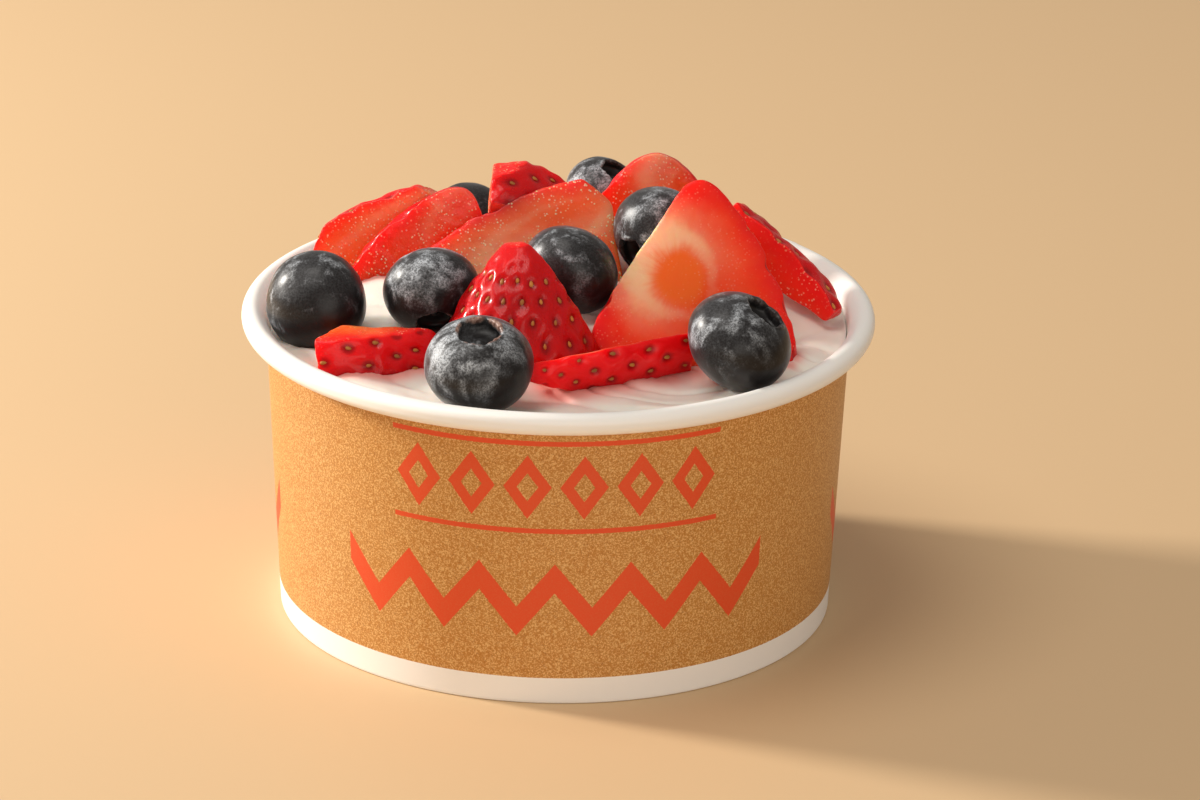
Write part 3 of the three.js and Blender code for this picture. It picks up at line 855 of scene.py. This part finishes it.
    def seeds(self):
        """Middle and two directions, outward and towards the tip, of each seed that is clear of the cuts."""
        found = []
        for row in range(1, self.rows):
            t = self.row_t(row) + self.shift_t[row]
            turns = (np.arange(self.columns) + 0.5 * (row % 2)) / self.columns
            angle = turns * math.tau + self.shift_a[row]
            radius = self.skin_radius(t, angle)
            rise = berry_profile(t + 0.02, self.taper) - berry_profile(t - 0.02, self.taper)
            slope = self.radius * rise / (0.04 * self.length)
            y, z = np.sin(angle), np.cos(angle)
            point = np.stack([(t - 0.5) * self.length, radius * y, radius * z], axis=1)
            outward = np.stack([-slope, y, z], axis=1)
            tipward = np.stack([np.ones_like(t), slope * y, slope * z], axis=1)
            clear = radius > 0.4 * self.radius
            for normal, distance in self.planes:
                clear &= point @ normal < distance - 0.45
            for index in np.nonzero(clear)[0]:
                ways = [way[index] / np.linalg.norm(way[index]) for way in (outward, tipward)]
                found.append((point[index], *ways))
        return found


def strawberries():
    """Every piece, each with random draws of its own."""
    return [(name, Strawberry(name, 300 + 11 * number)) for number, name in enumerate(STRAWBERRIES)]


def build_strawberries(settings):
    made = {}
    for name, berry in strawberries():
        points, faces, numbers = berry.mesh(GRID)
        placed = berry.place(points)
        add_piece(
            name + "_flesh", placed, faces.tolist(), [strawberry_material(settings, name)], name,
            numbers=numbers, vectors={"berry": points},
        )
        made[name] = placed
    return made


def strawberry_material(settings, name):
    """Skin: deep red, with painted shade darkening the pits. Cut flesh: red under the skin, more orange
    inwards along fibres that run out from the heart, with a pale ring round an orange heart. All of it wet,
    the cuts specked with pale painted glints."""
    core, pale, heart, gold, sparkle, dark = LOOKS[name]
    s = Shader(name + " flesh")
    place = s.place()
    local = s.attribute("berry", "Vector")
    x, y, z = s.axes(local)
    share = s.attribute("share")
    cut = s.step(s.attribute("past") + (s.noise(place, 0.9, 2) - 0.5) * 0.3, -0.28, 0.05)
    middle_x, middle_y, half_length, half_width, slope = core
    along = (x - middle_x) / half_length
    across = (y - middle_y - (x - middle_x) * slope) / half_width
    far = s.maths("MAXIMUM", (along * along + across * across) ** 0.5, 0.05)
    fibre_at = s.join(along / far * 8, across / far * 8, far * 0.9 + z * 0.2)
    fibres = s.noise(fibre_at, 1.0, 3, 0.6, 0.2)
    cloud = s.noise(local, 0.16, 3)
    wander = cloud - 0.5
    inward = s.step(share + wander * 0.3 + (fibres - 0.5) * 0.3, 1.02, 0.5)
    flesh = s.mix(inward, settings.rim, settings.flesh)
    flesh = s.mix(s.step(share + wander * 0.5, 1.05, 0.6) * gold, flesh, settings.core)
    streak = s.step(fibres, 0.48, 0.66) * s.step(share, 1.02, 0.7) * (0.15 + 0.25 * gold)
    flesh = s.mix(streak, flesh, (0.96, 0.14, 0.045))
    flesh = s.mix(s.step(s.attribute("t") + wander * 0.1, 0.8, 0.93) * 0.8, flesh, settings.rim)
    sided = (across * 0.8 + along * 0.6) / far * 0.5 + 0.5
    frayed = far + wander * 0.8 + (fibres - 0.5) * 0.25
    flesh = s.mix(s.step(frayed, 3.4, 1.2) * (1 - sided) * pale * 0.15, flesh, settings.core)
    flesh = s.mix(s.step(frayed, 2.4, 1.1) * sided * pale * 0.72, flesh, settings.ring)
    ring = s.step(abs(frayed - 1.05 - sided * 0.2) / (0.22 + sided * 0.4), 1.0, 0.1) * pale
    flesh = s.mix(s.step(frayed, 1.1, 0.5) * heart, flesh, settings.core)
    flesh = s.mix(ring * (sided * 0.7 + 0.15) * (0.7 + fibres * 0.3), flesh, settings.ring)
    # Painted glints: pale specks in the cut flesh's colour, gathered in drifts, stand in for the sparkle of
    # light on wet flesh.
    drifts = s.step(s.noise(place, 0.2, 3, 0.6), 0.4, 0.56)
    specks = s.step(s.cells(place, 1.7), 0.34, 0.14) * (drifts * 0.9 + 0.08) * sparkle
    flesh = s.mix(specks, flesh, (1.0, 0.7, 0.45))
    skin = s.mix(
        cloud * 0.9, tuple(c * (0.85 - 0.55 * dark) for c in settings.skin),
        tuple(c * (1.1 - 0.6 * dark) for c in settings.skin),
    )
    # Painted shade: the skin darkens in the deep pits.
    skin = s.mix(s.step(s.attribute("pit"), 0.35, 0.9) * 0.65, skin, (0.22, 0.002, 0.002))
    colour = s.mix(cut, skin, flesh)
    wet = s.noise(place, 1.4, 4, 0.7)
    relief = s.bump(wet * (0.35 + 0.5 * sparkle) + specks * 0.6 + fibres * cut * 0.2, 0.24, 0.9)
    juicy = cut * (0.28 * sparkle - 0.28) + 0.32
    return s.finish(
        Base_Color=colour, Roughness=(0.24 + wet * 0.14).clamp(), Normal=relief, Coat_Weight=juicy,
        Subsurface_Weight=0.85, Subsurface_Radius=(1, 0.08, 0.03), Subsurface_Scale=0.006,
        Specular_IOR_Level=0.03 + 0.1 * sparkle, Coat_Roughness=0.16,
    )


def build_seeds(settings):
    """Every seed is the same small grid: a flattened drop, pointed towards the berry's tip, half sunk in its
    pit."""
    rows, columns = 6, 10
    along = np.linspace(-0.92, 0.92, rows)[:, None]
    angle = angles(columns)
    width = np.sqrt(1 - along**2) * (1 - 0.3 * along)
    x, y, z = np.broadcast_arrays(along * 0.62, width * np.cos(angle) * 0.36, width * np.sin(angle) * 0.24)
    drop = np.concatenate([[[-0.62, 0, 0]], np.stack([x, y, z], axis=-1).reshape(-1, 3), [[0.64, 0, 0]]])
    faces = capped_faces(rows, columns)
    points, joined, tones = [], [], []
    draw = np.random.default_rng(77)
    for _, berry in strawberries():
        for point, outward, tipward in berry.seeds():
            skew = draw.uniform(-0.25, 0.25)
            heading = tipward * math.cos(skew) + np.cross(outward, tipward) * math.sin(skew)
            ways = np.stack([heading, np.cross(outward, heading), outward])
            start = len(points) * len(drop)
            points.append(berry.place(point + outward * 0.04 + drop * draw.uniform(0.72, 0.95) @ ways))
            joined += [[start + corner for corner in face] for face in faces]
            tones.append(np.full(len(drop), draw.uniform(0, 1)))
    add_piece(
        "strawberry_seeds", np.concatenate(points), joined, [seed_material(settings)], None,
        numbers={"tone": np.concatenate(tones)},
    )


def seed_material(settings):
    """Straw-yellow to brown, each seed in its own tone, with a wet sheen."""
    s = Shader("strawberry seeds")
    place = s.place()
    tone = s.attribute("tone")
    colour = s.mix(tone * 0.85, settings.seed, (0.2, 0.045, 0.015))
    colour = s.mix(s.noise(place, 3, 2) * 0.35, colour, (0.6, 0.32, 0.1))
    relief = s.bump(s.noise(place, 4, 2), 0.04, 0.5)
    return s.finish(
        Base_Color=colour, Roughness=tone * 0.15 + 0.3, Normal=relief, Specular_IOR_Level=0.2,
    )


# ---------- stage
# The camera that fits the photo: focal length in millimetres, place in metres, and its own axes.
LENS = 172.5
EYE = (0.0, -0.86939, 0.3679)
RIGHT = (0.99987194, -0.00184959, 0.01589577)
FORWARD = (0.00742698, 0.93347983, -0.35855299)
UP = (-0.01417521, 0.35862513, 0.93337403)


def lamp(name, power, size, where, colour):
    """A round area lamp at that place, in metres, that shines at the cup."""
    light = bpy.data.lights.new(name, "AREA")
    light.energy = power
    light.shape = "DISK"
    light.size = size
    light.color = colour
    made = add_object(name, light)
    made.location = where
    made.rotation_euler = (Vector((0, 0, 0.05)) - made.location).to_track_quat("-Z", "Y").to_euler()


def build_stage(settings):
    """Camera, floor, a low key light from the left and a little behind, broad lights overhead and in front,
    and an even room."""
    scene = bpy.context.scene
    camera = bpy.data.cameras.new("camera")
    camera.lens = LENS
    camera.sensor_width = 36
    camera.clip_start = 0.01
    scene.camera = add_object("camera", camera)
    rows = [[RIGHT[i], UP[i], -FORWARD[i], EYE[i]] for i in range(3)]
    scene.camera.matrix_world = Matrix(rows + [[0, 0, 0, 1]])

    mesh = bpy.data.meshes.new("floor")
    mesh.from_pydata([(-3, -3, 0), (3, -3, 0), (3, 3, 0), (-3, 3, 0)], [], [(0, 1, 2, 3)])
    s = Shader("pale floor")
    mesh.materials.append(s.finish(Base_Color=settings.floor, Roughness=0.6))
    add_object("floor", mesh)

    lamp("key", settings.key, 0.13, (-0.81, 0.25, 0.36), (1.0, 0.95, 0.88))
    lamp("overhead", settings.overhead, 0.7, (-0.35, -0.15, 1.0), (1.0, 0.96, 0.91))
    lamp("front", settings.front, 1.3, (0.3, -1.4, 0.3), (1.0, 0.94, 0.86))

    world = bpy.data.worlds.new("room")
    world.use_nodes = True
    background = world.node_tree.nodes["Background"]
    background.inputs[0].default_value = (1.0, 0.93, 0.84, 1)
    background.inputs[1].default_value = settings.fill
    scene.world = world
    scene.view_settings.view_transform = "Standard"


# ---------- operators
FRUIT = {}


class PARFAIT_OT_blueberries(bpy.types.Operator):
    """Make the blueberries"""

    bl_idname = "parfait.blueberries"
    bl_label = "Blueberries"

    def execute(self, context):
        FRUIT.update(build_blueberries(context.scene.parfait_blueberries))
        return {"FINISHED"}


class PARFAIT_OT_strawberries(bpy.types.Operator):
    """Make the strawberry pieces and their seeds"""

    bl_idname = "parfait.strawberries"
    bl_label = "Strawberries"

    def execute(self, context):
        FRUIT.update(build_strawberries(context.scene.parfait_strawberries))
        build_seeds(context.scene.parfait_strawberries)
        return {"FINISHED"}


class PARFAIT_OT_yogurt(bpy.types.Operator):
    """Make the yogurt round the fruit"""

    bl_idname = "parfait.yogurt"
    bl_label = "Yogurt"

    def execute(self, context):
        if not FRUIT:
            raise RuntimeError("the fruit is made before the yogurt")
        build_yogurt(context.scene.parfait_yogurt, FRUIT)
        return {"FINISHED"}


class PARFAIT_OT_cup(bpy.types.Operator):
    """Make the printed paper cup"""

    bl_idname = "parfait.cup"
    bl_label = "Cup"

    def execute(self, context):
        build_cup(context.scene.parfait_cup)
        return {"FINISHED"}


class PARFAIT_OT_stage(bpy.types.Operator):
    """Make the floor, the lights and the camera"""

    bl_idname = "parfait.stage"
    bl_label = "Stage"

    def execute(self, context):
        build_stage(context.scene.parfait_stage)
        return {"FINISHED"}


# The steps in the order in which they run, each an operator and the settings it reads.
SETTINGS = {
    "blueberries": ParfaitBlueberrySettings,
    "strawberries": ParfaitStrawberrySettings,
    "yogurt": ParfaitYogurtSettings,
    "cup": ParfaitCupSettings,
    "stage": ParfaitStageSettings,
}


class PARFAIT_PT_panel(bpy.types.Panel):
    """Lists the pieces and their settings"""

    bl_label = "Yogurt parfait"
    bl_idname = "PARFAIT_PT_panel"
    bl_space_type = "VIEW_3D"
    bl_region_type = "UI"
    bl_category = "Parfait"

    def draw(self, context):
        for step in SETTINGS:
            box = self.layout.box()
            box.operator("parfait." + step)
            settings = getattr(context.scene, "parfait_" + step)
            for name in type(settings).__annotations__:
                box.prop(settings, name)


CLASSES = (
    *SETTINGS.values(), PARFAIT_OT_blueberries, PARFAIT_OT_strawberries, PARFAIT_OT_yogurt, PARFAIT_OT_cup,
    PARFAIT_OT_stage, PARFAIT_PT_panel,
)


def register():
    for made in CLASSES:
        bpy.utils.register_class(made)
    for step, group in SETTINGS.items():
        setattr(bpy.types.Scene, "parfait_" + step, bpy.props.PointerProperty(type=group))


def unregister():
    for step in SETTINGS:
        delattr(bpy.types.Scene, "parfait_" + step)
    for made in reversed(CLASSES):
        bpy.utils.unregister_class(made)


def main():
    register()
    for step in SETTINGS:
        getattr(bpy.ops.parfait, step)()


if __name__ == "__main__":
    main()
